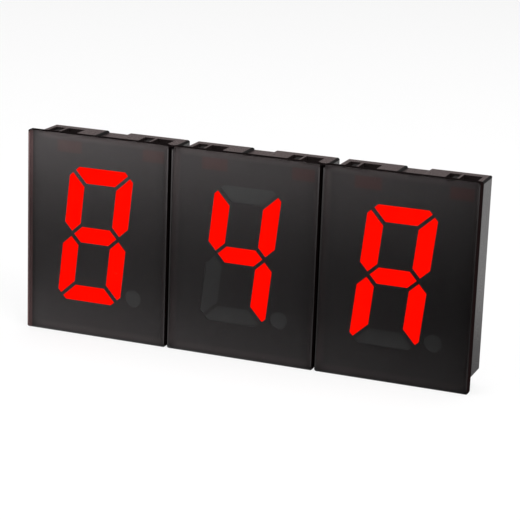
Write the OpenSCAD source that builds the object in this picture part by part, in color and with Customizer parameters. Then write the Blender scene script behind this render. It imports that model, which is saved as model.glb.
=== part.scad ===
// Seven segment display of three single-digit modules that butt side by side.
// Millimetres, +Z up, the digits face -Y, origin on the base under the middle of the display.
// Each module is drawn in its own frame: x from its centre, y from its front face, z from its base.

/* [Modules] */
// Distance between the centres of neighbouring modules
module_pitch = 45; // [44:0.5:56]
// Depth from the front face to the back of the case
module_depth = 10.7; // [10.2:0.1:15]
// Gap between neighbouring front windows
window_gap = 0.3; // [0.2:0.1:1]

/* [Front window] */
// Distance from the digit to the window's upper and lower edges
digit_margin = 9.75; // [9.25:0.25:18]
// Thickness of the window
window_t = 1.5; // [1.2:0.1:2]
// Radius of the window's corners
window_corner_r = 1.1; // [0.6:0.1:2]
// Rounding along the window's front edges
window_edge_r = 0.6; // [0.2:0.05:0.7]
// Thickness of the adhesive between the window and the film
bond_t = 0.05; // [0.02:0.01:0.1]
// Thickness of the printed film on the window's back
film_t = 0.15; // [0.1:0.05:0.4]
// Distance from the window's edge to the film's edge
film_inset = 0.1; // [0.05:0.05:0.5]
// Width of a snap hook
hook_w = 2.9; // [2:0.1:3.5]
// Thickness of a snap hook's arm
hook_t = 1; // [0.8:0.1:1.4]
// Length of the flat top of a hook's barb
barb_top_l = 0.8; // [0.5:0.1:1.2]
// Length of the ramp behind a hook's barb
barb_ramp_l = 2.2; // [1.5:0.1:2.6]
// Depth of a barb's top below the outside of the wall that it hooks into
barb_depth = 0.1; // [0.05:0.05:0.6]

/* [Case] */
// Thickness of the case's side walls
case_wall = 1.5; // [1.2:0.1:2]
// Thickness of the case's back wall
back_wall = 1.2; // [1:0.1:1.6]
// Distance from the window's left edge to the case
case_left_inset = 3.7; // [2.5:0.1:4.5]
// Distance from the window's lower edge to the case
case_bottom_inset = 4.4; // [3:0.1:5]
// Distance from the window's upper edge to the top of the case's pads
case_top_inset = 0.2; // [0.1:0.05:0.5]
// Rounding of the case's outer edges
case_edge_r = 0.6; // [0.3:0.1:1]
// Width of each raised pad on the top of the case
pad_w = 17.2; // [15:0.1:18]
// Height of the raised pads
pad_rise = 0.65; // [0.5:0.05:1]
// Length that a right pad reaches past its case towards the next module
pad_reach = 1.7; // [1:0.1:2.5]

/* [Snap slots] */
// Distance from a pad's outer end to its slots
slot_margin = 1.8; // [1.5:0.1:2.5]
// Width of the small slot
small_slot_w = 3.2; // [2.6:0.1:4]
// Width of the bar between the slots
slot_bar_w = 0.7; // [0.6:0.1:1.2]
// Width of the large slot that takes a hook
large_slot_w = 5.2; // [4.6:0.1:6]
// Width of the case's rim in front of the slots
slot_rim = 0.9; // [0.7:0.1:1.4]
// Depth of the rim's top below the pad in front of the slots
rim_drop = 1.2; // [0.8:0.1:1.4]
// Length of the slots from front to back
slot_l = 4.8; // [4.2:0.1:5.2]

/* [Digit] */
// Height of the digit
digit_h = 40; // [34:0.5:56]
// Width of the digit
digit_w = 20; // [18:0.5:22]
// Slant of the digit in degrees
slant = 5.6; // [0:0.1:8]
// Sideways place of the digit's centre on the window
digit_x = -1.2; // [-2:0.1:1]
// Stroke of the upright segments
upright_stroke = 5; // [4:0.1:5.6]
// Stroke of the level segments
bar_stroke = 4.7; // [4:0.1:5.4]
// Gap between neighbouring segments
segment_gap = 1.1; // [1:0.05:1.5]
// Cut across the digit's outer corners
corner_cut = 2.8; // [1.5:0.1:3.4]
// Diameter of the decimal point
point_d = 5; // [4:0.1:5.2]
// Distance from the digit's side to the decimal point's centre
point_side = 4; // [3.9:0.1:4.3]
// Height of the decimal point's centre above the digit's foot
point_rise = 3; // [2.6:0.1:4]

/* [Light mask] */
// Depth of the light mask
mask_depth = 3.6; // [3.2:0.1:4]
// Depth of the segment openings in front of their step
opening_depth = 1.2; // [0.8:0.1:1.4]
// Distance that each light guide reaches behind the film round its opening
guide_lap = 0.1; // [0.05:0.05:0.1]
// Width of the flange round each light guide
guide_flange = 0.2; // [0.15:0.05:0.25]
// Room between the light mask and the upper hooks
mask_top_room = 2; // [1.5:0.1:2.5]
// Diameter of the mask's locating pins
mask_pin_d = 1.6; // [1.2:0.1:2]
// Height of the locating pins' ends behind the circuit board
mask_pin_stub = 0.6; // [0.4:0.1:1]

/* [Circuit board] */
// Thickness of the circuit board
board_t = 1; // [0.8:0.1:1.2]
// Diameter of the pillars that carry the board
pillar_d = 3.2; // [2.6:0.1:4]
// Distance from the board's edges to the pillars' centres
pillar_inset = 2.6; // [2.2:0.1:3]
// Length of a light-emitting chip
led_l = 2; // [1.6:0.1:2.4]
// Width of a light-emitting chip
led_w = 1.25; // [0.8:0.05:1.6]
// Height of a light-emitting chip
led_h = 0.8; // [0.6:0.05:0.9]
// Length of the driver chip
chip_l = 9.9; // [9.6:0.1:11]
// Width of the driver chip
chip_w = 3.9; // [3.5:0.1:5]
// Height of the driver chip
chip_h = 1.5; // [1.2:0.1:1.9]
// Distance between the driver chip's leads
lead_pitch = 1.27; // [1:0.01:1.3]
// Length of a resistor
resistor_l = 2; // [1.6:0.1:2.2]
// Width of a resistor
resistor_w = 1.25; // [0.8:0.05:1.6]
// Height of a resistor
resistor_h = 0.55; // [0.4:0.05:0.8]
// Distance between neighbouring resistors
resistor_pitch = 2.6; // [2:0.1:3]

/* [Connectors] */
// Distance between the header's pins
header_pitch = 2; // [1.8:0.1:2.5]
// Width of the wire header
header_w = 4.4; // [4:0.1:5]
// Thickness of the header's walls
header_wall = 0.6; // [0.5:0.05:0.8]
// Side of a header pin
pin_side = 0.5; // [0.4:0.05:0.6]
// Length of the link plug's body between two modules
link_l = 16; // [14:0.5:20]
// Thickness of the link plug's tongues
tongue_t = 2; // [1.5:0.1:2.2]
// Length that the tongues reach inside the case walls
tongue_reach = 2.5; // [2:0.1:3]

/* [Hidden] */
$fn = 48;
slip = 0.1;                  // clearance between pieces that seat on each other
fit = 0.15;                  // clearance round pieces that go into openings
over = 1;                    // how far a cut runs past a face
sides = ["left", "middle", "right"];
lit_segments = ["abcdefg", "bcfg", "abcefg"];
segment_names = ["a", "b", "c", "d", "e", "f", "g"];
last_module = len(sides) - 1;

// Outline of a module's window and case
window_w = module_pitch - window_gap;
window_h = digit_h + 2 * digit_margin;
case_left = case_left_inset - window_w / 2;
case_right = window_w / 2;
case_mid_x = (case_left + case_right) / 2;
case_bottom = case_bottom_inset;
pad_top = window_h - case_top_inset;
case_top = pad_top - pad_rise;
inner_left = case_left + case_wall;
inner_right = case_right - case_wall;
inner_bottom = case_bottom + case_wall;
inner_top = case_top - case_wall;

// Layers from the front face to the back
film_front = window_t + bond_t;
case_front = film_front + film_t;
step_y = case_front + opening_depth;
board_front = case_front + mask_depth;
board_back = board_front + board_t;
led_gap = 0.2;
guide_back = board_front - led_h - led_gap;
inner_back = module_depth - back_wall;

// Snap hooks and the slots they catch in
slot_front = case_front + slot_rim;
hook_step = fit + hook_t;
hook_top = inner_top - fit;
hook_bottom = inner_bottom + fit;
barb_front = slot_front + fit;
hook_back = barb_front + barb_top_l + barb_ramp_l;
top_barb_rise = pad_top - barb_depth - hook_top;
bottom_barb_rise = hook_bottom - case_bottom - barb_depth;
slot_pair_w = small_slot_w + slot_bar_w + large_slot_w;
slot_starts = [case_left + slot_margin, case_right - slot_margin - slot_pair_w];
hook_offset = slot_pair_w - fit - hook_w;
small_slot_step = 0.6;       // share of the small slot that runs its full length

// Light mask and circuit board outlines
mask_side_room = 0.3;
mask_bottom_room = 0.4;
mask_left = inner_left + mask_side_room;
mask_right = inner_right - mask_side_room;
mask_bottom = inner_bottom + hook_step + mask_bottom_room;
mask_top = inner_top - hook_step - mask_top_room;
board_room = 0.4;
board_left = inner_left + board_room;
board_right = inner_right - board_room;
board_bottom = mask_bottom;
board_top = inner_top - hook_step - board_room;
mask_pin_inset = 1.6;
mask_pin_lift = 12;
digit_z = window_h / 2;
mask_pins = [[mask_left + mask_pin_inset, digit_z + mask_pin_lift],
             [mask_right - mask_pin_inset, digit_z - mask_pin_lift]];
pillars = [for (x = [board_left + pillar_inset, board_right - pillar_inset])
           for (z = [board_bottom + pillar_inset, board_top - pillar_inset]) [x, z]];

// Pieces on the board's back
chip_lift = 8;
chip_z = digit_z + chip_lift;
chip_stand_off = 0.1;
lead_w = 0.4;
lead_t = 0.2;
lead_reach = 1;
leads_per_side = 8;
resistor_count = 8;
resistor_drop = 5;
resistor_z = digit_z - resistor_drop;
cap_l = 0.35;                // length of a resistor's metal ends
cap_rise = 0.03;             // how far the metal ends stand proud
pin_count = 6;
header_end_room = 0.5;       // room past the last pins inside the header
header_l = pin_count * header_pitch + 2 * (header_wall + header_end_room);
header_rise = 8.5;
header_z = board_bottom + header_rise;
header_floor = 1;
header_recess = 0.3;
header_end = module_depth - header_recess;
pin_recess = 0.6;
pin_end = header_end - pin_recess;
pin_hole_d = pin_side * sqrt(2) + fit;
key_w = 4;
key_depth = 1.4;

// Link plug between two modules
link_y = board_back + slip;
link_rim = 1;
link_z = digit_z;
tongue_l = link_l - 2 * link_rim;
link_left = case_right + slip;
link_right = module_pitch + case_left - slip;

module_nodes = concat(["front_window", "mask_film", "rear_case", "light_mask"],
                      [for (s = segment_names) str("segment_", s)],
                      ["decimal_point", "circuit_board", "led_chips", "driver_chip", "chip_leads",
                       "resistors", "wire_header", "header_pins"]);

// Segment outlines, counter-clockwise, about the centre of an upright digit
half_w = digit_w / 2;
half_h = digit_h / 2;
mitre = segment_gap / sqrt(2);
function top_bar() = [
    [-half_w + bar_stroke + mitre, half_h - bar_stroke],
    [half_w - bar_stroke - mitre, half_h - bar_stroke],
    [half_w - (corner_cut + mitre) / 2, half_h - (corner_cut - mitre) / 2],
    [half_w - corner_cut, half_h],
    [-half_w + corner_cut, half_h],
    [-half_w + (corner_cut + mitre) / 2, half_h - (corner_cut - mitre) / 2]];
function upper_left() = [
    [-half_w + upright_stroke / 2, mitre],
    [-half_w + upright_stroke, upright_stroke / 2 + mitre],
    [-half_w + upright_stroke, half_h - upright_stroke - mitre],
    [-half_w + (corner_cut - mitre) / 2, half_h - (corner_cut + mitre) / 2],
    [-half_w, half_h - corner_cut],
    [-half_w, upright_stroke / 2 + mitre]];
function middle_bar() = let (tip = half_w - upright_stroke / 2 - mitre, flat = tip - bar_stroke / 2) [
    [-tip, 0], [-flat, -bar_stroke / 2], [flat, -bar_stroke / 2],
    [tip, 0], [flat, bar_stroke / 2], [-flat, bar_stroke / 2]];
function turned(points) = [for (i = [len(points) - 1:-1:0]) points[i]];
function across(points) = turned([for (p = points) [-p.x, p.y]]);
function below(points) = turned([for (p = points) [p.x, -p.y]]);
function upright_outline(name) =
    name == "a" ? top_bar() :
    name == "b" ? across(upper_left()) :
    name == "c" ? below(across(upper_left())) :
    name == "d" ? below(top_bar()) :
    name == "e" ? below(upper_left()) :
    name == "f" ? upper_left() : middle_bar();

// Point of the upright digit placed on the window with its slant
function on_window(p) = [digit_x + p.x + p.y * tan(slant), digit_z + p.y];
function segment_outline(name) = [for (p = upright_outline(name)) on_window(p)];
point_centre = on_window([half_w + point_side, point_rise - half_h]);

// Outline moved outwards by a distance, with sharp corners
function side_normal(from, to) = let (d = (to - from) / norm(to - from)) [d.y, -d.x];
function grown(points, distance) = let (n = len(points)) [
    for (i = [0:n - 1])
        let (before = side_normal(points[(i + n - 1) % n], points[i]),
             after = side_normal(points[i], points[(i + 1) % n]))
        points[i] + distance * (before + after) / (1 + before * after)];

// Outline of a light guide behind its opening in the film, grown by a further distance
function guide_outline(name, extra) = grown(segment_outline(name), guide_lap + extra);
guide_d = point_d + 2 * guide_lap;

// Places of the light-emitting chips along each segment
led_spread = 3;
upright_mid = half_h / 2;
upright_x = half_w - upright_stroke / 2;
bar_z = half_h - bar_stroke / 2;
led_places = concat(
    [for (z = [-bar_z, 0, bar_z]) for (x = [-led_spread, led_spread]) on_window([x, z])],
    [for (x = [-upright_x, upright_x]) for (s = [-1, 1]) for (d = [-led_spread, led_spread])
        on_window([x, s * upright_mid + d])],
    [point_centre]);

// Outline in the face's plane, given depth from y_from to y_to
module layer(y_from, y_to) {
    translate([0, y_to, 0]) rotate([90, 0, 0]) linear_extrude(y_to - y_from) children();
}

// Box between two corners
module block(low, high) {
    translate(low) cube(high - low);
}

module rounded_rect(low, high, r) {
    translate([low.x + r, low.y]) square([high.x - low.x - 2 * r, high.y - low.y]);
    translate([low.x, low.y + r]) square([high.x - low.x, high.y - low.y - 2 * r]);
    for (x = [low.x + r, high.x - r]) for (y = [low.y + r, high.y - r]) translate([x, y]) circle(r);
}

// Rectangle whose two upper corners are round
module round_topped(w, h, r) {
    square([w, h - r]);
    translate([r, 0]) square([w - 2 * r, h]);
    for (x = [r, w - r]) translate([x, h - r]) circle(r);
}

// Hook arm along y with a barb that catches behind the rim of a slot, outside upwards
module snap_hook(barb_rise) {
    rotate([90, 0, 90]) linear_extrude(hook_w) polygon([
        [window_t - slip, -hook_t],
        [hook_back, -hook_t],
        [hook_back, 0],
        [barb_front + barb_top_l, barb_rise],
        [barb_front, barb_rise],
        [barb_front, 0],
        [window_t - slip, 0]]);
}

// Tinted front window with rounded front edges and four snap hooks
module front_window() {
    color("#191515") {
        intersection() {
            layer(0, window_t)
                rounded_rect([-window_w / 2, 0], [window_w / 2, window_h], window_corner_r);
            translate([-window_w / 2, window_t, window_h]) rotate([180, 0, 0])
                linear_extrude(window_h) round_topped(window_w, window_t, window_edge_r);
            translate([-window_w / 2, window_t, 0]) rotate(a = 180, v = [1, 0, 1])
                linear_extrude(window_w) round_topped(window_h, window_t, window_edge_r);
        }
        for (x = slot_starts) {
            translate([x + hook_offset, 0, hook_top]) snap_hook(top_barb_rise);
            translate([x + hook_offset, 0, hook_bottom]) mirror([0, 0, 1]) snap_hook(bottom_barb_rise);
        }
    }
}

// Printed film behind the window, open at the segments and round the hooks
module mask_film() {
    color("#0d0d0d") layer(film_front, case_front) difference() {
        rounded_rect([film_inset - window_w / 2, film_inset],
                     [window_w / 2 - film_inset, window_h - film_inset], window_corner_r - film_inset);
        for (s = segment_names) polygon(segment_outline(s));
        translate(point_centre) circle(d = point_d);
        for (x = slot_starts) {
            for (z = [inner_bottom, inner_top - hook_step - fit])
                translate([x + hook_offset - fit, z]) square([hook_w + 2 * fit, hook_step + fit]);
        }
    }
}

// Outline of the case seen from the front, with the two raised pads on its top
module case_outline() {
    rounded_rect([case_left, case_bottom], [case_right, case_top], case_edge_r);
    for (x = [case_left, case_right - pad_w])
        translate([x, inner_top]) round_topped(pad_w, pad_top - inner_top, case_edge_r);
}

// Front part of the two slots of one pad, from their front left corner
module slot_mouths(length) {
    square([small_slot_w * small_slot_step, length]);
    translate([small_slot_w + slot_bar_w, 0]) square([large_slot_w, length]);
}

// Footprint of the two slots of one pad, from their front left corner
module slot_pair() {
    slot_mouths(slot_l);
    translate([0, slot_l / 2]) square([small_slot_w, slot_l / 2]);
}

// Case with rounded outer edges, snap slots, board pillars and connector openings
module rear_case(i) {
    case_w = case_right - case_left;
    case_h = pad_top - case_bottom;
    case_depth = module_depth - case_front;
    color("#5b5656") difference() {
        union() {
            difference() {
                intersection() {
                    layer(case_front, module_depth) case_outline();
                    translate([case_left, case_front, case_bottom])
                        linear_extrude(case_h) round_topped(case_w, case_depth, case_edge_r);
                    translate([case_right, case_front, case_bottom]) rotate([0, -90, 0])
                        linear_extrude(case_w) round_topped(case_h, case_depth, case_edge_r);
                }
                block([inner_left, case_front - over, inner_bottom], [inner_right, inner_back, inner_top]);
            }
            for (p = pillars)
                translate([p.x, inner_back + back_wall / 2, p.y]) rotate([90, 0, 0])
                    cylinder(d = pillar_d, h = inner_back + back_wall / 2 - board_back);
            if (i < last_module)
                layer(case_front, module_depth - case_edge_r) translate([case_right - pad_w, inner_top])
                    round_topped(pad_w + pad_reach, pad_top - inner_top, case_edge_r);
        }
        for (x = slot_starts) {
            translate([x, slot_front, inner_top - over]) linear_extrude(pad_top - inner_top + 2 * over)
                slot_pair();
            translate([x, case_front - over, pad_top - rim_drop]) linear_extrude(rim_drop + over)
                slot_mouths(over + slot_rim + fit);
            block([x + hook_offset - fit, slot_front, case_bottom - over],
                  [x + hook_offset + hook_w + fit, slot_front + slot_l, inner_bottom + over]);
        }
        block([case_mid_x - header_l / 2 - fit, inner_back - over, header_z - header_w / 2 - fit],
              [case_mid_x + header_l / 2 + fit, module_depth + over, header_z + header_w / 2 + fit]);
        if (i < last_module) link_window(inner_right - over, case_right + over);
        if (i > 0) link_window(case_left - over, inner_left + over);
    }
}

// Cut through a side wall for a link plug's tongue
module link_window(x_from, x_to) {
    block([x_from, link_y - fit, link_z - tongue_l / 2 - fit],
          [x_to, link_y + tongue_t + fit, link_z + tongue_l / 2 + fit]);
}

// Light mask with a stepped well for each segment and two locating pins
module light_mask() {
    color("#1f1f1f") {
        difference() {
            block([mask_left, case_front, mask_bottom], [mask_right, board_front, mask_top]);
            for (s = segment_names) {
                layer(case_front - over, step_y + over) polygon(guide_outline(s, slip));
                layer(step_y, board_front + over) polygon(guide_outline(s, guide_flange + slip));
            }
            layer(case_front - over, step_y + over) translate(point_centre) circle(d = guide_d + 2 * slip);
            layer(step_y, board_front + over)
                translate(point_centre) circle(d = guide_d + 2 * (guide_flange + slip));
        }
        for (p = mask_pins)
            layer(board_front - slip, board_back + mask_pin_stub) translate(p) circle(d = mask_pin_d);
    }
}

// Flanged light guide of one segment
module segment(name, i) {
    lit = len(search(name, lit_segments[i])) > 0;
    color(lit ? "#ff0d00" : "#3a3838") {
        layer(case_front, step_y + slip) polygon(guide_outline(name, 0));
        layer(step_y, guide_back) polygon(guide_outline(name, guide_flange));
    }
}

// Flanged round light guide of the decimal point
module decimal_point() {
    color("#3a3838") {
        layer(case_front, step_y + slip) translate(point_centre) circle(d = guide_d);
        layer(step_y, guide_back) translate(point_centre) circle(d = guide_d + 2 * guide_flange);
    }
}

// Circuit board with holes for the mask's pins and the header's pins
module circuit_board() {
    color("#1f4a30") layer(board_front, board_back) difference() {
        translate([board_left, board_bottom]) square([board_right - board_left, board_top - board_bottom]);
        for (p = mask_pins) translate(p) circle(d = mask_pin_d + 2 * fit);
        for (x = header_pin_places()) translate([x, header_z]) circle(d = pin_hole_d);
    }
}

// Light-emitting chips with a narrower lens on a base
module led_chips() {
    lens_share = 0.7;
    base_h = led_h / 2;
    color("#efe6d2") for (p = led_places) {
        block([p.x - led_l / 2, board_front - base_h, p.y - led_w / 2],
              [p.x + led_l / 2, board_front, p.y + led_w / 2]);
        block([p.x - led_l * lens_share / 2, board_front - led_h, p.y - led_w / 2],
              [p.x + led_l * lens_share / 2, board_front - base_h, p.y + led_w / 2]);
    }
}

// Driver chip's moulded body with a dimple at its first lead
module driver_chip() {
    dimple_d = 1;
    dimple_depth = 0.1;
    dimple_inset = 1.1;
    color("#202022") difference() {
        block([case_mid_x - chip_l / 2, board_back + chip_stand_off, chip_z - chip_w / 2],
              [case_mid_x + chip_l / 2, board_back + chip_h, chip_z + chip_w / 2]);
        layer(board_back + chip_h - dimple_depth, board_back + chip_h + over)
            translate([case_mid_x + chip_l / 2 - dimple_inset, chip_z + chip_w / 2 - dimple_inset])
                circle(d = dimple_d);
    }
}

// Driver chip's bent leads, from its sides down to the board
module chip_leads() {
    middle = (chip_h + chip_stand_off) / 2;
    knee = lead_reach / 2;
    profile = [[0, middle], [knee - lead_t, middle], [knee - lead_t, 0], [lead_reach, 0],
               [lead_reach, lead_t], [knee, lead_t], [knee, middle + lead_t], [0, middle + lead_t]];
    color("#c9c9c6") for (k = [0:leads_per_side - 1]) for (s = [-1, 1])
        translate([case_mid_x + (k - (leads_per_side - 1) / 2) * lead_pitch - lead_w / 2, 0, 0])
            rotate([90, 0, 90]) linear_extrude(lead_w)
                polygon([for (p = profile) [board_back + p.y, chip_z + s * (chip_w / 2 + p.x)]]);
}

// Row of chip resistors with metal ends
module resistors() {
    color("#2a2a2c") for (k = [0:resistor_count - 1]) {
        x = case_mid_x + (k - (resistor_count - 1) / 2) * resistor_pitch;
        block([x - resistor_w / 2, board_back, resistor_z - resistor_l / 2],
              [x + resistor_w / 2, board_back + resistor_h, resistor_z + resistor_l / 2]);
        for (z = [resistor_z - resistor_l / 2, resistor_z + resistor_l / 2 - cap_l])
            block([x - resistor_w / 2 - cap_rise, board_back, z],
                  [x + resistor_w / 2 + cap_rise, board_back + resistor_h + cap_rise, z + cap_l]);
    }
}

function header_pin_places() =
    [for (k = [0:pin_count - 1]) case_mid_x + (k - (pin_count - 1) / 2) * header_pitch];

// Shrouded wire header that opens through the back of the case
module wire_header() {
    low = [case_mid_x - header_l / 2, board_back, header_z - header_w / 2];
    high = [case_mid_x + header_l / 2, header_end, header_z + header_w / 2];
    pin_room = pin_side / 2 + slip;
    color("#e9e3d3") difference() {
        block(low, high);
        block(low + [header_wall, header_floor, header_wall], high + [-header_wall, over, -header_wall]);
        block([case_mid_x - key_w / 2, header_end - key_depth, high.z - header_wall - slip],
              [case_mid_x + key_w / 2, header_end + over, high.z + over]);
        for (x = header_pin_places())
            block([x - pin_room, board_back - over, header_z - pin_room],
                  [x + pin_room, board_back + header_floor + over, header_z + pin_room]);
    }
}

// Header pins, from the board's front to just inside the shroud's mouth
module header_pins() {
    color("#d7c48a") for (x = header_pin_places())
        block([x - pin_side / 2, board_front, header_z - pin_side / 2],
              [x + pin_side / 2, pin_end, header_z + pin_side / 2]);
}

// Plug that joins two neighbouring modules, drawn in the frame of the left one
module link_plug() {
    color("#2c2b2b") {
        block([link_left, link_y - link_rim, link_z - link_l / 2],
              [link_right, link_y + tongue_t + link_rim, link_z + link_l / 2]);
        block([inner_right - tongue_reach, link_y, link_z - tongue_l / 2],
              [module_pitch + inner_left + tongue_reach, link_y + tongue_t, link_z + tongue_l / 2]);
    }
}

module at_module(i) {
    translate([(i - last_module / 2) * module_pitch, -module_depth / 2, 0]) children();
}

module piece(name, i) {
    if (name == "front_window") front_window();
    if (name == "mask_film") mask_film();
    if (name == "rear_case") rear_case(i);
    if (name == "light_mask") light_mask();
    for (s = segment_names) if (name == str("segment_", s)) segment(s, i);
    if (name == "decimal_point") decimal_point();
    if (name == "circuit_board") circuit_board();
    if (name == "led_chips") led_chips();
    if (name == "driver_chip") driver_chip();
    if (name == "chip_leads") chip_leads();
    if (name == "resistors") resistors();
    if (name == "wire_header") wire_header();
    if (name == "header_pins") header_pins();
}

for (i = [0:last_module]) for (name = module_nodes)
    at_module(i) piece(name, i);
at_module(0) link_plug();  // left_link_plug
at_module(1) link_plug();  // right_link_plug
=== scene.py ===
import math
import bmesh
import bpy
from mathutils import Matrix, Vector


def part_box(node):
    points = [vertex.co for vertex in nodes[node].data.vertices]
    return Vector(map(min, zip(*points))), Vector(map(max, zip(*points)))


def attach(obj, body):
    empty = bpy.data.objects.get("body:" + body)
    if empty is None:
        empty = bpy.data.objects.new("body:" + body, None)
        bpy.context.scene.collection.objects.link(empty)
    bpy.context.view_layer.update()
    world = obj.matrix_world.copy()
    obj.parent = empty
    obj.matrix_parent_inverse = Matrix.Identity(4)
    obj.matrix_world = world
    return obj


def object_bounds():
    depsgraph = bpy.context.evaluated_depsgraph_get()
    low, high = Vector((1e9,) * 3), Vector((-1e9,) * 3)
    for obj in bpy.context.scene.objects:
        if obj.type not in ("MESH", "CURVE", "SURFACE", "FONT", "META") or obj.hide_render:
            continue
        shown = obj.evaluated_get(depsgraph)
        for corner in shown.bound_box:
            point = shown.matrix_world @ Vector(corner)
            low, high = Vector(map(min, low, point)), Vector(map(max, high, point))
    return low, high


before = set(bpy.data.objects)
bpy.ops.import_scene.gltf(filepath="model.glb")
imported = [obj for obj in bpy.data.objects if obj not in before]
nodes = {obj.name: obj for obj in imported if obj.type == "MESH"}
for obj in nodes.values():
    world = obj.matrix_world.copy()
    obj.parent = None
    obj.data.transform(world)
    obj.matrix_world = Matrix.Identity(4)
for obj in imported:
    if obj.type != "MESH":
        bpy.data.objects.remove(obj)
cadLow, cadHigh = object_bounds()  # box of the solids, before anything is added
scene = bpy.context.scene
scene.view_settings.view_transform = "Standard"
mm = 0.001
sides = ("left", "middle", "right")
litSegments = {"left": "abcdefg", "middle": "bcfg", "right": "abcefg"}
print("frame loaded with", len(nodes), "nodes")


# node and material helpers

def newMaterial(name):
    material = bpy.data.materials.new(name)
    material.use_nodes = True
    tree = material.node_tree
    return material, tree, tree.nodes["Principled BSDF"]


def addNode(tree, kind, sockets=None, **settings):
    node = tree.nodes.new(kind)
    for key, value in settings.items():
        setattr(node, key, value)
    fillSockets(tree, node, sockets or {})
    return node


def fillSockets(tree, node, sockets):
    for key, value in sockets.items():
        if isinstance(value, bpy.types.NodeSocket):
            tree.links.new(value, node.inputs[key])
        else:
            node.inputs[key].default_value = value


def calc(tree, operation, *values):
    node = addNode(tree, "ShaderNodeMath", dict(enumerate(values)), operation=operation)
    return node.outputs[0]


def times(tree, first, *others):
    for other in others:
        first = calc(tree, "MULTIPLY", first, other)
    return first


def most(tree, first, *others):
    for other in others:
        first = calc(tree, "MAXIMUM", first, other)
    return first


def plus(tree, first, second):
    return calc(tree, "ADD", first, second)


def minus(tree, first, second):
    return calc(tree, "SUBTRACT", first, second)


def distance(tree, across, up):
    spot = addNode(tree, "ShaderNodeCombineXYZ", {0: across, 1: up})
    length = addNode(tree, "ShaderNodeVectorMath", {0: spot.outputs[0]}, operation="LENGTH")
    return length.outputs["Value"]


def place(tree):
    coords = addNode(tree, "ShaderNodeTexCoord")
    return coords.outputs["Object"]


def axes(tree):
    split = addNode(tree, "ShaderNodeSeparateXYZ", {0: place(tree)})
    return split.outputs


def noise(tree, size, detail=2.0, roughness=0.5):
    texture = addNode(tree, "ShaderNodeTexNoise", {"Vector": place(tree), "Scale": 1 / size,
                                                   "Detail": detail, "Roughness": roughness})
    return texture.outputs["Fac"]


def spread(tree, value, low, high):  # 0 to 1 becomes low to high
    node = addNode(tree, "ShaderNodeMapRange", {"Value": value, "To Min": low, "To Max": high})
    return node.outputs["Result"]


def mottle(tree, size, limits, detail=2.0):
    return spread(tree, noise(tree, size, detail), *limits)


def rise(tree, value, start, end):  # 0 before start, 1 after end
    node = addNode(tree, "ShaderNodeMapRange", {"Value": value, "From Min": start, "From Max": end})
    return node.outputs["Result"]


def fall(tree, value, start, end):
    return minus(tree, 1.0, rise(tree, value, start, end))


def band(tree, value, low, high, soft):  # 1 between low and high
    return times(tree, rise(tree, value, low - soft, low), fall(tree, value, high, high + soft))


def ramp(tree, value, *stops):
    node = addNode(tree, "ShaderNodeValToRGB", {"Fac": value})
    elements = node.color_ramp.elements
    while len(elements) < len(stops):
        elements.new(0.5)
    for element, (position, colour) in zip(elements, stops):
        element.position = position
        element.color = opaque(colour)
    return node.outputs["Color"]


def toned(tree, value, dark, bright):
    return ramp(tree, value, (0.3, dark), (0.7, bright))  # noise seldom leaves this range


def opaque(colour):
    return (*colour, 1.0) if isinstance(colour, tuple) else colour  # a socket stays as it is


def mixColour(tree, factor, first, second):
    sockets = {0: factor, 6: opaque(first), 7: opaque(second)}
    node = addNode(tree, "ShaderNodeMix", sockets, data_type="RGBA")
    return node.outputs[2]


def timesColour(tree, first, second):
    node = addNode(tree, "ShaderNodeVectorMath", {0: first, 1: second}, operation="MULTIPLY")
    return node.outputs[0]


def bump(tree, height, depth, strength):
    node = addNode(tree, "ShaderNodeBump", {"Height": height, "Distance": depth, "Strength": strength})
    return node.outputs["Normal"]


def grey(level):
    return (level, level, level)


def scaled(colour, share):
    return tuple(part * share for part in colour)


def addPiece(name, shape, finish):
    mesh = bpy.data.meshes.new(name)
    shape.to_mesh(mesh)
    shape.free()
    mesh.materials.append(finish)
    piece = bpy.data.objects.new(name, mesh)
    scene.collection.objects.link(piece)
    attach(piece, "root")


def dress(node, finish):
    piece = nodes[node]
    piece.data.materials.clear()
    piece.data.materials.append(finish)


# camera at the photo's angle

cameraView = {
    "aim": (4.8, -3.6, 29.5),  # point in the middle of the picture, mm
    "distance": 545.4,         # mm
    "turn": 20.71,             # degrees to the right of straight on
    "tilt": 15.48,             # degrees from above
    "roll": 2.12,              # degrees
    "lens": 135.06,            # mm on the sensor below
    "sensor": 36.0,
}


def buildCamera(view):
    data = bpy.data.cameras.new("photoCamera")
    data.lens = view["lens"]
    data.sensor_width = view["sensor"]
    camera = bpy.data.objects.new("photoCamera", data)
    facing = (Matrix.Rotation(math.radians(view["turn"]), 3, "Z")
              @ Matrix.Rotation(math.radians(90 - view["tilt"]), 3, "X")
              @ Matrix.Rotation(math.radians(view["roll"]), 3, "Z"))
    spot = Vector(view["aim"]) * mm + facing @ Vector((0, 0, view["distance"] * mm))
    camera.matrix_world = Matrix.Translation(spot) @ facing.to_4x4()
    scene.collection.objects.link(camera)
    scene.camera = camera


buildCamera(cameraView)
print("camera placed")


# white studio

floorPaper = {
    "radius": 4.0,                 # m
    "segments": 96,
    "drop": 0.02 * mm,             # keeps the floor just clear of the flat feet
    "tones": (0.8415, 0.85),
    "cloud": 0.2,                  # m
    "roughness": 0.9,
    "specular": 0.1,
    "glow": 0.76,                  # share of the floor that shows as plain white
    "shineSide": (0.6, 0.8, 0.0),  # direction in which the floor's reflection brightens
    "shine": ((0.035, 0.1), (0.05, 0.31), (0.08, 0.36), (0.13, 0.72)),  # m that way, brightness
}


def clearRay(path):
    return most(path.id_data, path.outputs["Is Camera Ray"], path.outputs["Is Transmission Ray"])


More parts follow.
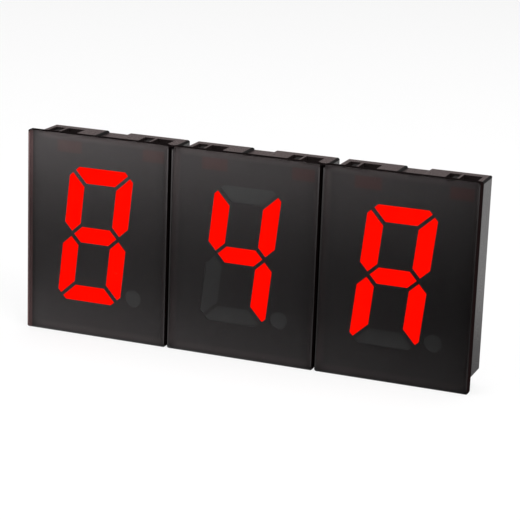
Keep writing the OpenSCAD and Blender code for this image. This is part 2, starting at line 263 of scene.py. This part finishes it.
def floorFinish(settings):
    material, tree, shader = newMaterial("floorPaper")
    fillSockets(tree, shader, {"Base Color": mottle(tree, settings["cloud"], settings["tones"]),
                               "Roughness": settings["roughness"],
                               "Specular IOR Level": settings["specular"]})
    path = addNode(tree, "ShaderNodeLightPath")
    mirrored = path.outputs["Is Glossy Ray"]
    facing = addNode(tree, "ShaderNodeVectorMath", {0: place(tree), 1: settings["shineSide"]},
                     operation="DOT_PRODUCT")
    stops = [(reach, grey(level)) for reach, level in settings["shine"]]
    shine = ramp(tree, facing.outputs["Value"], *stops)
    glow = addNode(tree, "ShaderNodeEmission", {"Strength": spread(tree, mirrored, 1.0, shine)})
    share = most(tree, mirrored, times(tree, clearRay(path), settings["glow"]))
    mix = addNode(tree, "ShaderNodeMixShader", {0: share, 1: shader.outputs[0], 2: glow.outputs[0]})
    tree.links.new(mix.outputs[0], tree.nodes["Material Output"].inputs["Surface"])
    return material


def buildFloor(settings):
    shape = bmesh.new()
    drop = Matrix.Translation((0, 0, -settings["drop"]))
    bmesh.ops.create_circle(shape, cap_ends=True, segments=settings["segments"],
                            radius=settings["radius"], matrix=drop)
    mesh = bpy.data.meshes.new("floor")
    shape.to_mesh(mesh)
    shape.free()
    mesh.materials.append(floorFinish(settings))
    floor = bpy.data.objects.new("floor", mesh)
    scene.collection.objects.link(floor)


whiteRoom = {
    "light": grey(0.45),
    "seen": grey(1.0),        # what the camera sees of it
    "skyFade": (0.27, 0.38),  # height of the sky where its reflection fades out
    "skyShine": ((0.52, 0.43, 0.425), grey(0.03)),  # reflected at the horizon and overhead
}


def buildWorld(settings):
    world = bpy.data.worlds.new("whiteRoom")
    world.use_nodes = True
    tree = world.node_tree
    path = addNode(tree, "ShaderNodeLightPath")
    heading = addNode(tree, "ShaderNodeTexCoord").outputs["Generated"]
    climb = addNode(tree, "ShaderNodeSeparateXYZ", {0: heading}).outputs["Z"]
    sky = ramp(tree, climb, *zip(settings["skyFade"], settings["skyShine"]))
    light = mixColour(tree, path.outputs["Is Glossy Ray"], settings["light"], sky)
    seen = mixColour(tree, clearRay(path), light, settings["seen"])
    fillSockets(tree, tree.nodes["Background"], {"Color": seen, "Strength": 1.0})
    scene.world = world


lamps = {  # place, target and side in m, watts
    "keyLamp": {"spot": (0.75, -0.55, 0.75), "target": (0, 0, 0.03), "side": 0.7, "watts": 9.0},
    "fillLamp": {"spot": (-0.7, -0.8, 0.6), "target": (0, 0, 0.03), "side": 0.8, "watts": 5.0},
    "topLamp": {"spot": (0.0, 0.15, 1.0), "target": (0, 0, 0.05), "side": 0.6, "watts": 5.0},
}


def buildLamp(name, lamp):
    data = bpy.data.lights.new(name, "AREA")
    data.size = lamp["side"]
    data.energy = lamp["watts"]
    light = bpy.data.objects.new(name, data)
    spot = Vector(lamp["spot"])
    light.location = spot
    light.rotation_euler = (Vector(lamp["target"]) - spot).to_track_quat("-Z", "Y").to_euler()
    scene.collection.objects.link(light)


buildFloor(floorPaper)
buildWorld(whiteRoom)
for lampName, lampSettings in lamps.items():
    buildLamp(lampName, lampSettings)
print("studio ready")


# faces of the modules: painted reflection and shade, how bright the film is where

windowLow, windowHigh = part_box("middle_front_window")
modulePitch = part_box("right_front_window")[0].x - windowLow.x
faceTone = {
    "corner": 1.1 * mm,                # rounding of a module's outline
    "foot": 0.0463,                    # painted reflection and shade: brightness of the film up the window
    "middle": 0.0216,
    "top": 0.074,
    "middleHeight": 0.45,              # share of the window's height
    "rowShare": (1.12, 0.34),          # painted light: brightness at the left and right ends of the row
    "moduleShare": (1.06, 1.0),        # and at the left and right of each module, also painted light
    "cast": (1.05, 0.975, 0.985),      # warm cast of the film
    "slotLightColours": ((1.3, 0.98, 0.96), (1.46, 0.87, 0.85)),  # painted light from the snap slots by the upper hooks, at the row's ends
    "glowPatches": ((-13.2 * mm, -6.1 * mm), (13.6 * mm, 19.7 * mm)),
    "glowHeight": (53.9 * mm, 56.8 * mm),
    "glowSoft": 0.55 * mm,
    "paintedRimLight": (1.85, 1.68, 1.67),   # painted light along the film's border, which also offsets the shade cast by the window's dark edges
    "rimReach": (0.7 * mm, 2.6 * mm),
    "rimFoot": 0.15,                   # share of it at the foot
    "rimTop": 0.65,                    # and at the top
    "rimStart": (1.4 * mm, 5.2 * mm),  # none before this at the left end of the row
    "paintedEndLight": (0.094, 0.06, 0.06),  # painted light: warm strip at the left end of the row
    "endReach": (0.9 * mm, 1.05 * mm),
    "endShare": (1.6, 2.3),            # brighter towards the foot and the top
    "endHeight": (18.0 * mm, 40.0 * mm),
}


def moduleX(tree, x):
    return calc(tree, "WRAP", x, modulePitch / 2, -modulePitch / 2)  # x from the module's own centre


# painted reflection and shade: darkest a little below the middle, brighter at the top and foot, falling off
# towards the row's right end
def paintedFaceLevel(tree, share):
    x, y, z = axes(tree)
    level = addNode(tree, "ShaderNodeFloatCurve", {"Value": calc(tree, "DIVIDE", z, windowHigh.z)})
    curve = level.mapping.curves[0]
    for point, stop in zip(curve.points, ((0.0, faceTone["foot"]), (1.0, faceTone["top"]))):
        point.location = stop
    curve.points.new(faceTone["middleHeight"], faceTone["middle"])
    level.mapping.update()
    along = spread(tree, rise(tree, x, cadLow.x, cadHigh.x), *faceTone["rowShare"])
    local = rise(tree, moduleX(tree, x), -modulePitch / 2, modulePitch / 2)
    across = spread(tree, local, *faceTone["moduleShare"])
    return times(tree, level.outputs[0], along, across, share)


# painted light: warm patches on the film below the snap slots
def paintedSlotLight(tree):
    x, y, z = axes(tree)
    soft = faceTone["glowSoft"]
    left, right = [band(tree, moduleX(tree, x), *patch, soft) for patch in faceTone["glowPatches"]]
    return times(tree, plus(tree, left, right), band(tree, z, *faceTone["glowHeight"], soft))


def edgeDistance(tree):  # how far inside the module's outline
    x, y, z = axes(tree)
    radius = faceTone["corner"]
    middle = windowHigh.z / 2
    aside = minus(tree, calc(tree, "ABSOLUTE", moduleX(tree, x)), windowHigh.x - radius)
    above = minus(tree, calc(tree, "ABSOLUTE", minus(tree, z, middle)), middle - radius)
    curved = distance(tree, most(tree, aside, 0.0), most(tree, above, 0.0))
    straight = calc(tree, "MINIMUM", most(tree, aside, above), 0.0)
    return minus(tree, radius, plus(tree, curved, straight))


# painted light along the film's border, weaker at the foot and the top and none at the row's left end
def paintedRimMask(tree):
    x, y, z = axes(tree)
    reach = faceTone["rimReach"][1]
    border = fall(tree, edgeDistance(tree), *faceTone["rimReach"])
    foot = spread(tree, rise(tree, z, 0.0, reach), faceTone["rimFoot"], 1.0)
    top = spread(tree, rise(tree, z, windowHigh.z - reach, windowHigh.z), 1.0, faceTone["rimTop"])
    start = rise(tree, minus(tree, x, cadLow.x), *faceTone["rimStart"])
    return times(tree, border, foot, top, start)


def leftEnd(tree):
    fromEnd = minus(tree, axes(tree)["X"], cadLow.x)
    return fall(tree, fromEnd, *faceTone["endReach"])


# painted light of the warm strip at the row's left end, brighter towards the foot and the top
def paintedEndTone(tree, share):
    z = axes(tree)["Z"]
    footShare, topShare = faceTone["endShare"]
    lower, upper = faceTone["endHeight"]
    foot = spread(tree, rise(tree, z, 0.0, lower), footShare, 1.0)
    top = spread(tree, rise(tree, z, upper, windowHigh.z), 1.0, topShare)
    return timesColour(tree, scaled(faceTone["paintedEndLight"], share), times(tree, foot, top))


# printed film and light guides

filmPrint = {
    "cloud": 2.5 * mm,
    "cloudShare": (0.94, 1.06),
    "grain": 0.4 * mm,
    "roughness": (0.3, 0.4),
    "specular": 0.1,
}


def filmFinish(name, share):
    material, tree, shader = newMaterial(name)
    cloud = mottle(tree, filmPrint["cloud"], filmPrint["cloudShare"], detail=3)
    # the film's print tone times painted reflection and shade, with painted light by the slots, along the
    # border and at the row's left end
    level = times(tree, paintedFaceLevel(tree, share), cloud)
    along = rise(tree, axes(tree)["X"], cadLow.x, cadHigh.x)
    glow = mixColour(tree, along, *faceTone["slotLightColours"])
    tone = mixColour(tree, paintedSlotLight(tree), faceTone["cast"], glow)
    tone = timesColour(tree, tone, mixColour(tree, paintedRimMask(tree), grey(1.0), faceTone["paintedRimLight"]))
    tone = mixColour(tree, leftEnd(tree), timesColour(tree, tone, level), paintedEndTone(tree, 1.0))
    fillSockets(tree, shader, {"Base Color": tone,
                               "Roughness": mottle(tree, filmPrint["grain"], filmPrint["roughness"]),
                               "Specular IOR Level": filmPrint["specular"]})
    return material


unlitGuides = {
    "share": {"unlitGuide": 1.2, "unlitPoint": 1.36},  # tone against the film round them
    "lift": 0.005,         # and what they are lighter by everywhere
    "cloud": 3.0 * mm,
    "cloudShare": (0.95, 1.05),
    "grain": 0.5 * mm,
    "roughness": (0.4, 0.55),
    "specular": 0.1,
}


def unlitGuideFinish(name):
    material, tree, shader = newMaterial(name)
    # the guides' own lighter tone over the film's painted reflection and shade
    level = plus(tree, paintedFaceLevel(tree, unlitGuides["share"][name]), unlitGuides["lift"])
    cloud = mottle(tree, unlitGuides["cloud"], unlitGuides["cloudShare"])
    fillSockets(tree, shader, {"Base Color": times(tree, level, cloud),
                               "Roughness": mottle(tree, unlitGuides["grain"], unlitGuides["roughness"]),
                               "Specular IOR Level": unlitGuides["specular"]})
    return material


litGuides = {
    "glow": (1.0, 0.0025, 0.0),
    "strength": 1.0,
    "dark": (0.11, 0.0005, 0.0),  # the guide's own tone
    "bright": (0.15, 0.001, 0.0),
    "cloud": 4.0 * mm,
    "roughness": 0.5,
    "specular": 0.0,
}


def litGuideFinish(name):
    material, tree, shader = newMaterial(name)
    cloud = noise(tree, litGuides["cloud"], detail=1)
    fillSockets(tree, shader, {"Base Color": toned(tree, cloud, litGuides["dark"], litGuides["bright"]),
                               "Roughness": litGuides["roughness"],
                               "Specular IOR Level": litGuides["specular"],
                               "Emission Color": opaque(litGuides["glow"]),
                               "Emission Strength": litGuides["strength"]})
    return material


# smoked window, clear in front of the film and dark along its edges, with painted shade in the gaps and
# painted highlights beside the upright edges

windowFinish = {
    "tint": (0.003, 0.002, 0.002),
    "cover": 0.05,                        # how much of the film the tint hides
    "plate": 1.5 * mm,                    # thickness of the window in front of its hooks
    "hookDepth": (1.51 * mm, 1.53 * mm),  # from here back the hooks are dark
    # near black edges in the gaps between modules: the window's dark plastic with painted shade
    "edge": (0.0015, 0.0008, 0.0008),
    "upperEdge": (0.0065, 0.005, 0.005),
    "rightEnd": (0.008, 0.0045, 0.0045),  # edge at the right end of the row, lighter than the painted shade of the edges in the gaps
    "lowerEdge": 1.27,                    # tone of the lower edge against the film's painted brightness
    "outerEdge": 0.85,                    # tone of the left end's edge against the painted warm strip behind it
    "edgeRound": 0.62 * mm,               # border with the rounded front edge
    "edgeSoft": 0.062 * mm,
    "upperSoft": 0.186 * mm,
    "faceDepth": 0.16 * mm,               # the rounding is dark from here back
    "faceSoft": 0.01 * mm,
    "edgeStrip": (0.12 * mm, 0.15 * mm),  # border that the film leaves bare
    "paintedRightShade": (0.45 * mm, 0.5 * mm),   # painted shade: dark strip along a module's right edge
    "leftLine": (0.2 * mm, 0.7 * mm),     # painted highlights: lines of light beside the upright edges
    "rightLine": (0.52 * mm, 0.8 * mm),
    "lineSoft": 0.05 * mm,
    "lineMargin": 1.24 * mm,              # they stop before the foot and the top
    "lineTone": (1.1, 1.4),               # of the left and right lines against the film
    "haze": 6 * mm,
    "roughness": (0.252, 0.308),
    "specular": 0.0,
}


def paintedHighlights(tree, depth, local):
    edgeRound, soft = windowFinish["edgeRound"], windowFinish["lineSoft"]
    left = band(tree, plus(tree, local, windowHigh.x), *windowFinish["leftLine"], soft)
    right = band(tree, minus(tree, windowHigh.x, local), *windowFinish["rightLine"], soft)
    margin = windowFinish["lineMargin"]
    upright = band(tree, axes(tree)["Z"], margin, windowHigh.z - margin, edgeRound)
    front = fall(tree, depth, edgeRound, edgeRound + windowFinish["edgeSoft"])  # not on the window's back
    return times(tree, plus(tree, left, right), upright, front)


def darkEdges(tree, depth, local):
    inside = edgeDistance(tree)
    edgeRound = windowFinish["edgeRound"]
    behind = band(tree, depth, windowFinish["faceDepth"], edgeRound, windowFinish["faceSoft"])
    rounded = times(tree, behind, fall(tree, inside, edgeRound, edgeRound + windowFinish["edgeSoft"]))
    strip = fall(tree, inside, *windowFinish["edgeStrip"])
    # painted shade along each module's right edge
    right = fall(tree, minus(tree, windowHigh.x, local), *windowFinish["paintedRightShade"])
    hook = rise(tree, depth, *windowFinish["hookDepth"])
    return most(tree, rounded, strip, right, hook)


def edgeColour(tree, local, lines):
    x, y, z = axes(tree)
    edgeRound, soft = windowFinish["edgeRound"], windowFinish["edgeSoft"]
    upperStart = windowHigh.z - edgeRound
    below = fall(tree, z, upperStart - windowFinish["upperSoft"], upperStart)
    lower = fall(tree, z, edgeRound, edgeRound + soft)
    rightEnd = rise(tree, x, cadHigh.x - edgeRound, cadHigh.x - edgeRound + soft)
    lineTone = spread(tree, rise(tree, local, -edgeRound, edgeRound), *windowFinish["lineTone"])
    edge = mixColour(tree, below, windowFinish["upperEdge"], windowFinish["edge"])
    edge = mixColour(tree, rightEnd, edge, windowFinish["rightEnd"])
    edge = mixColour(tree, lower, edge, paintedFaceLevel(tree, windowFinish["lowerEdge"]))
    # painted highlights beside the upright edges
    edge = mixColour(tree, lines, edge, timesColour(tree, faceTone["cast"], paintedFaceLevel(tree, lineTone)))
    return mixColour(tree, times(tree, leftEnd(tree), below), edge, paintedEndTone(tree, windowFinish["outerEdge"]))


def smokedWindowFinish(name):
    material, tree, shader = newMaterial(name)
    x, y, z = axes(tree)
    local = moduleX(tree, x)
    depth = minus(tree, y, windowLow.y)
    lines = paintedHighlights(tree, depth, local)
    solid = most(tree, darkEdges(tree, depth, local), lines)
    tone = mixColour(tree, solid, windowFinish["tint"], edgeColour(tree, local, lines))
    rough = mottle(tree, windowFinish["haze"], windowFinish["roughness"], detail=3)
    fillSockets(tree, shader, {"Base Color": tone, "Roughness": rough,
                               "Alpha": spread(tree, solid, windowFinish["cover"], 1.0),
                               "Specular IOR Level": windowFinish["specular"]})
    return material


# printed patches inside the windows that hide the roots of the hooks

hookPrints = {
    "share": 0.9,          # tone against the film, which lies behind one more face of the window
    "margin": 0.2 * mm,
    "depth": 1.45 * mm,    # middle of the patch behind the window's front face
    "thickness": 0.04 * mm,
    "border": 1.0 * mm,    # rim of the window's back with no hooks
    "slack": 0.02 * mm,    # a point this near to the window's back belongs to it
}


def hookRoots(node, settings):
    low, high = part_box(node)
    roots = {}
    for vertex in nodes[node].data.vertices:
        spot = nodes[node].matrix_world @ vertex.co
        rooted = abs(spot.y - low.y - windowFinish["plate"]) < settings["slack"]
        inner = min(spot.x - low.x, high.x - spot.x, spot.z - low.z, high.z - spot.z) > settings["border"]
        if rooted and inner:
            corner = spot.x > (low.x + high.x) / 2, spot.z > (low.z + high.z) / 2
            roots.setdefault(corner, []).append(spot)
    return roots.values()


def buildHookPrints(settings, finish):
    shape = bmesh.new()
    for side in sides:
        for root in hookRoots(f"{side}_front_window", settings):
            across = [spot.x for spot in root]
            along = [spot.z for spot in root]
            centre = Vector((min(across) + max(across), 2 * (windowLow.y + settings["depth"]),
                             min(along) + max(along))) / 2
            size = (max(across) - min(across) + 2 * settings["margin"], settings["thickness"],
                    max(along) - min(along) + 2 * settings["margin"], 1.0)
            bmesh.ops.create_cube(shape, size=1.0, matrix=Matrix.Translation(centre) @ Matrix.Diagonal(size))
    addPiece("hookPrints", shape, finish)


# moulded plastics

mouldedSkin = {
    "cloud": 9 * mm,
    "cloudShare": (0.92, 1.08),
    "roughSpread": 0.08,    # to either side of a plastic's own roughness
    "shadeShare": 0.2,       # tone of places with painted shade
    "specular": 0.4,
    "reliefDepth": 0.02 * mm,
    "reliefStrength": 0.6,
}


def mouldedFinish(name, colour, grain, roughness, marks=None, paintedShade=None):
    material, tree, shader = newMaterial(name)
    fine = noise(tree, grain, detail=4, roughness=0.6)
    dark, bright = [scaled(colour, share) for share in mouldedSkin["cloudShare"]]
    tone = toned(tree, noise(tree, mouldedSkin["cloud"]), dark, bright)
    rough = spread(tree, fine, roughness - mouldedSkin["roughSpread"], roughness + mouldedSkin["roughSpread"])
    # painted shade, made rough so that it shows no reflection
    if paintedShade:
        spot = paintedShade(tree)
        tone = mixColour(tree, spot, tone, scaled(colour, mouldedSkin["shadeShare"]))
        rough = most(tree, rough, spot)
    relief = minus(tree, fine, marks(tree)) if marks else fine
    normal = bump(tree, relief, mouldedSkin["reliefDepth"], mouldedSkin["reliefStrength"])
    fillSockets(tree, shader, {"Base Color": tone, "Roughness": rough, "Normal": normal,
                               "Specular IOR Level": mouldedSkin["specular"]})
    return material


padShade = {
    "width": 17.2 * mm,
    "height": 0.65 * mm,
    "reach": 0.5 * mm,                  # painted shade: dark band at a pad's right end
    "slots": (1.8 * mm, 9.1 * mm),      # from a pad's outer end, and their width
    "step": (1.92 * mm, 3.2 * mm),      # painted shade: dark step in the small slot, from the slot's left end
    "stepDepth": (0.8 * mm, 3.4 * mm),  # and from the case's front
    "soft": 0.1 * mm,
}


# painted shade on the pads' right ends and in the small slots' steps
def paintedPadShade(tree):
    x, y, z = axes(tree)
    soft = padShade["soft"]
    lows, highs = zip(*(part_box(f"{side}_rear_case") for side in sides))
    ends = [low.x + padShade["width"] for low in lows] + [high.x for high in highs]
    shades = [band(tree, x, end - padShade["reach"], end, soft) for end in ends]
    caseWidth = highs[2].x - lows[2].x  # the right case has no overhang
    margin, slots = padShade["slots"]
    front = lows[1]
    deep = band(tree, y, *(front.y + depth for depth in padShade["stepDepth"]), soft)
    for start in (margin, caseWidth - margin - slots):
        across = band(tree, moduleX(tree, x), *(front.x + start + step for step in padShade["step"]), soft)
        shades.append(times(tree, across, deep))
    foot = highs[0].z - padShade["height"]
    return times(tree, most(tree, *shades), rise(tree, z, foot, foot + soft))


ejectorPins = {
    "across": 14.5 * mm,
    "up": 20.0 * mm,
    "radius": 1.7 * mm,
    "soft": 0.12 * mm,
    "sink": 4.0,                         # against the height of the grain
    "backDepth": (0.1 * mm, 0.05 * mm),  # only in the case's back
}


def ejectorMarks(tree):
    x, y, z = axes(tree)
    low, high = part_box("right_rear_case")
    middle = (low + high) / 2
    local = minus(tree, moduleX(tree, x), middle.x - modulePitch)
    aside = minus(tree, calc(tree, "ABSOLUTE", local), ejectorPins["across"])
    above = minus(tree, calc(tree, "ABSOLUTE", minus(tree, z, middle.z)), ejectorPins["up"])
    radius = ejectorPins["radius"]
    disc = fall(tree, distance(tree, aside, above), radius, radius + ejectorPins["soft"])
    onBack = rise(tree, y, *(high.y - depth for depth in ejectorPins["backDepth"]))
    return times(tree, disc, onBack, ejectorPins["sink"])


plastics = {
    "case": {"colour": (0.014, 0.010, 0.010), "grain": 0.22 * mm, "roughness": 0.28,
             "marks": ejectorMarks, "paintedShade": paintedPadShade},
    "mask": {"colour": grey(0.02), "grain": 0.3 * mm, "roughness": 0.6},
    "header": {"colour": (0.72, 0.67, 0.55), "grain": 0.3 * mm, "roughness": 0.45},
    "chip": {"colour": (0.025, 0.025, 0.027), "grain": 0.12 * mm, "roughness": 0.6},
    "link": {"colour": (0.045, 0.043, 0.043), "grain": 0.22 * mm, "roughness": 0.5},
}


# circuit board and its parts

boardTracks = {
    "mask": (0.02, 0.10, 0.045),
    "track": (0.04, 0.17, 0.075),
    "pitch": 1.6 * mm,
    "wander": {"Distortion": 5.0, "Detail": 1.0, "Detail Scale": 0.4},
    "trackEdge": (0.72, 0.80),  # of the wave's height
    "grain": 0.5 * mm,
    "roughness": (0.25, 0.4),
    "reliefDepth": 0.03 * mm,
    "reliefStrength": 0.5,
}


def boardFinish(name, settings):
    material, tree, shader = newMaterial(name)
    scale = 2 * math.pi / (20 * settings["pitch"])  # the wave's phase runs at 20 times its scale
    bands = addNode(tree, "ShaderNodeTexWave", {"Vector": place(tree), "Scale": scale, **settings["wander"]})
    copper = rise(tree, bands.outputs["Fac"], *settings["trackEdge"])
    normal = bump(tree, copper, settings["reliefDepth"], settings["reliefStrength"])
    fillSockets(tree, shader, {"Base Color": mixColour(tree, copper, settings["mask"], settings["track"]),
                               "Roughness": mottle(tree, settings["grain"], settings["roughness"]),
                               "Normal": normal})
    return material


ledParts = {
    "body": (0.82, 0.78, 0.70),
    "lens": (0.85, 0.62, 0.30),
    "soft": 0.02 * mm,
    "cloud": 0.3 * mm,
    "cloudShare": (0.9, 1.05),
    "roughness": (0.5, 0.15),  # of the body and the lens
}


def ledFinish(name, settings):
    material, tree, shader = newMaterial(name)
    low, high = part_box("middle_led_chips")
    middle = (low.y + high.y) / 2
    front = fall(tree, axes(tree)["Y"], middle - settings["soft"], middle + settings["soft"])
    tone = mixColour(tree, front, settings["body"], settings["lens"])
    cloud = mottle(tree, settings["cloud"], settings["cloudShare"])
    fillSockets(tree, shader, {"Base Color": timesColour(tree, tone, cloud),
                               "Roughness": spread(tree, front, *settings["roughness"])})
    return material


resistorParts = {
    "body": grey(0.03),
    "cap": (0.62, 0.62, 0.60),
    "capLength": 0.35 * mm,
    "soft": 0.02 * mm,
    "grain": 0.15 * mm,
    "grainShare": (0.85, 1.1),
    "roughness": (0.5, 0.28),  # of the body and the caps
}


def resistorFinish(name, settings):
    material, tree, shader = newMaterial(name)
    low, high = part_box("middle_resistors")
    z = axes(tree)["Z"]
    fromEnd = calc(tree, "MINIMUM", minus(tree, z, low.z), minus(tree, high.z, z))
    tinned = fall(tree, fromEnd, settings["capLength"], settings["capLength"] + settings["soft"])
    tone = mixColour(tree, tinned, settings["body"], settings["cap"])
    grain = mottle(tree, settings["grain"], settings["grainShare"], detail=3)
    fillSockets(tree, shader, {"Base Color": timesColour(tree, tone, grain),
                               "Roughness": spread(tree, tinned, *settings["roughness"])})
    return material


metals = {
    "tinnedLead": {"colour": (0.72, 0.72, 0.70), "roughness": (0.25, 0.45)},
    "platedPin": {"colour": (0.83, 0.70, 0.42), "roughness": (0.2, 0.4)},
}
metalStain = {"size": 0.6 * mm, "share": 0.85}


def metalFinish(name):
    material, tree, shader = newMaterial(name)
    colour = metals[name]["colour"]
    stain = noise(tree, metalStain["size"], detail=3)
    fillSockets(tree, shader, {"Base Color": toned(tree, stain, scaled(colour, metalStain["share"]), colour),
                               "Metallic": 1.0,
                               "Roughness": spread(tree, stain, *metals[name]["roughness"])})
    return material


# finishes on the nodes

finishes = {key: mouldedFinish(key + "Plastic", **settings) for key, settings in plastics.items()}
finishes["board"] = boardFinish("solderMask", boardTracks)
finishes["led"] = ledFinish("ledPackage", ledParts)
finishes["resistor"] = resistorFinish("chipResistor", resistorParts)
finishes["leads"] = metalFinish("tinnedLead")
finishes["pins"] = metalFinish("platedPin")
finishes["film"] = filmFinish("printedFilm", 1.0)
finishes["hookPrint"] = filmFinish("hookPrint", hookPrints["share"])
finishes["unlit"] = unlitGuideFinish("unlitGuide")
finishes["point"] = unlitGuideFinish("unlitPoint")
finishes["lit"] = litGuideFinish("litGuide")
finishes["window"] = smokedWindowFinish("smokedWindow")

nodeFinish = {
    "front_window": "window", "mask_film": "film", "rear_case": "case", "light_mask": "mask",
    "decimal_point": "point", "circuit_board": "board", "led_chips": "led", "driver_chip": "chip",
    "chip_leads": "leads", "resistors": "resistor", "wire_header": "header", "header_pins": "pins",
}
for side in sides:
    for node, finish in nodeFinish.items():
        dress(f"{side}_{node}", finishes[finish])
    for letter in "abcdefg":
        dress(f"{side}_segment_{letter}", finishes["lit" if letter in litSegments[side] else "unlit"])
for side in ("left", "right"):
    dress(f"{side}_link_plug", finishes["link"])
print("finishes on", len(nodes), "nodes")
buildHookPrints(hookPrints, finishes["hookPrint"])
print("hook prints added")
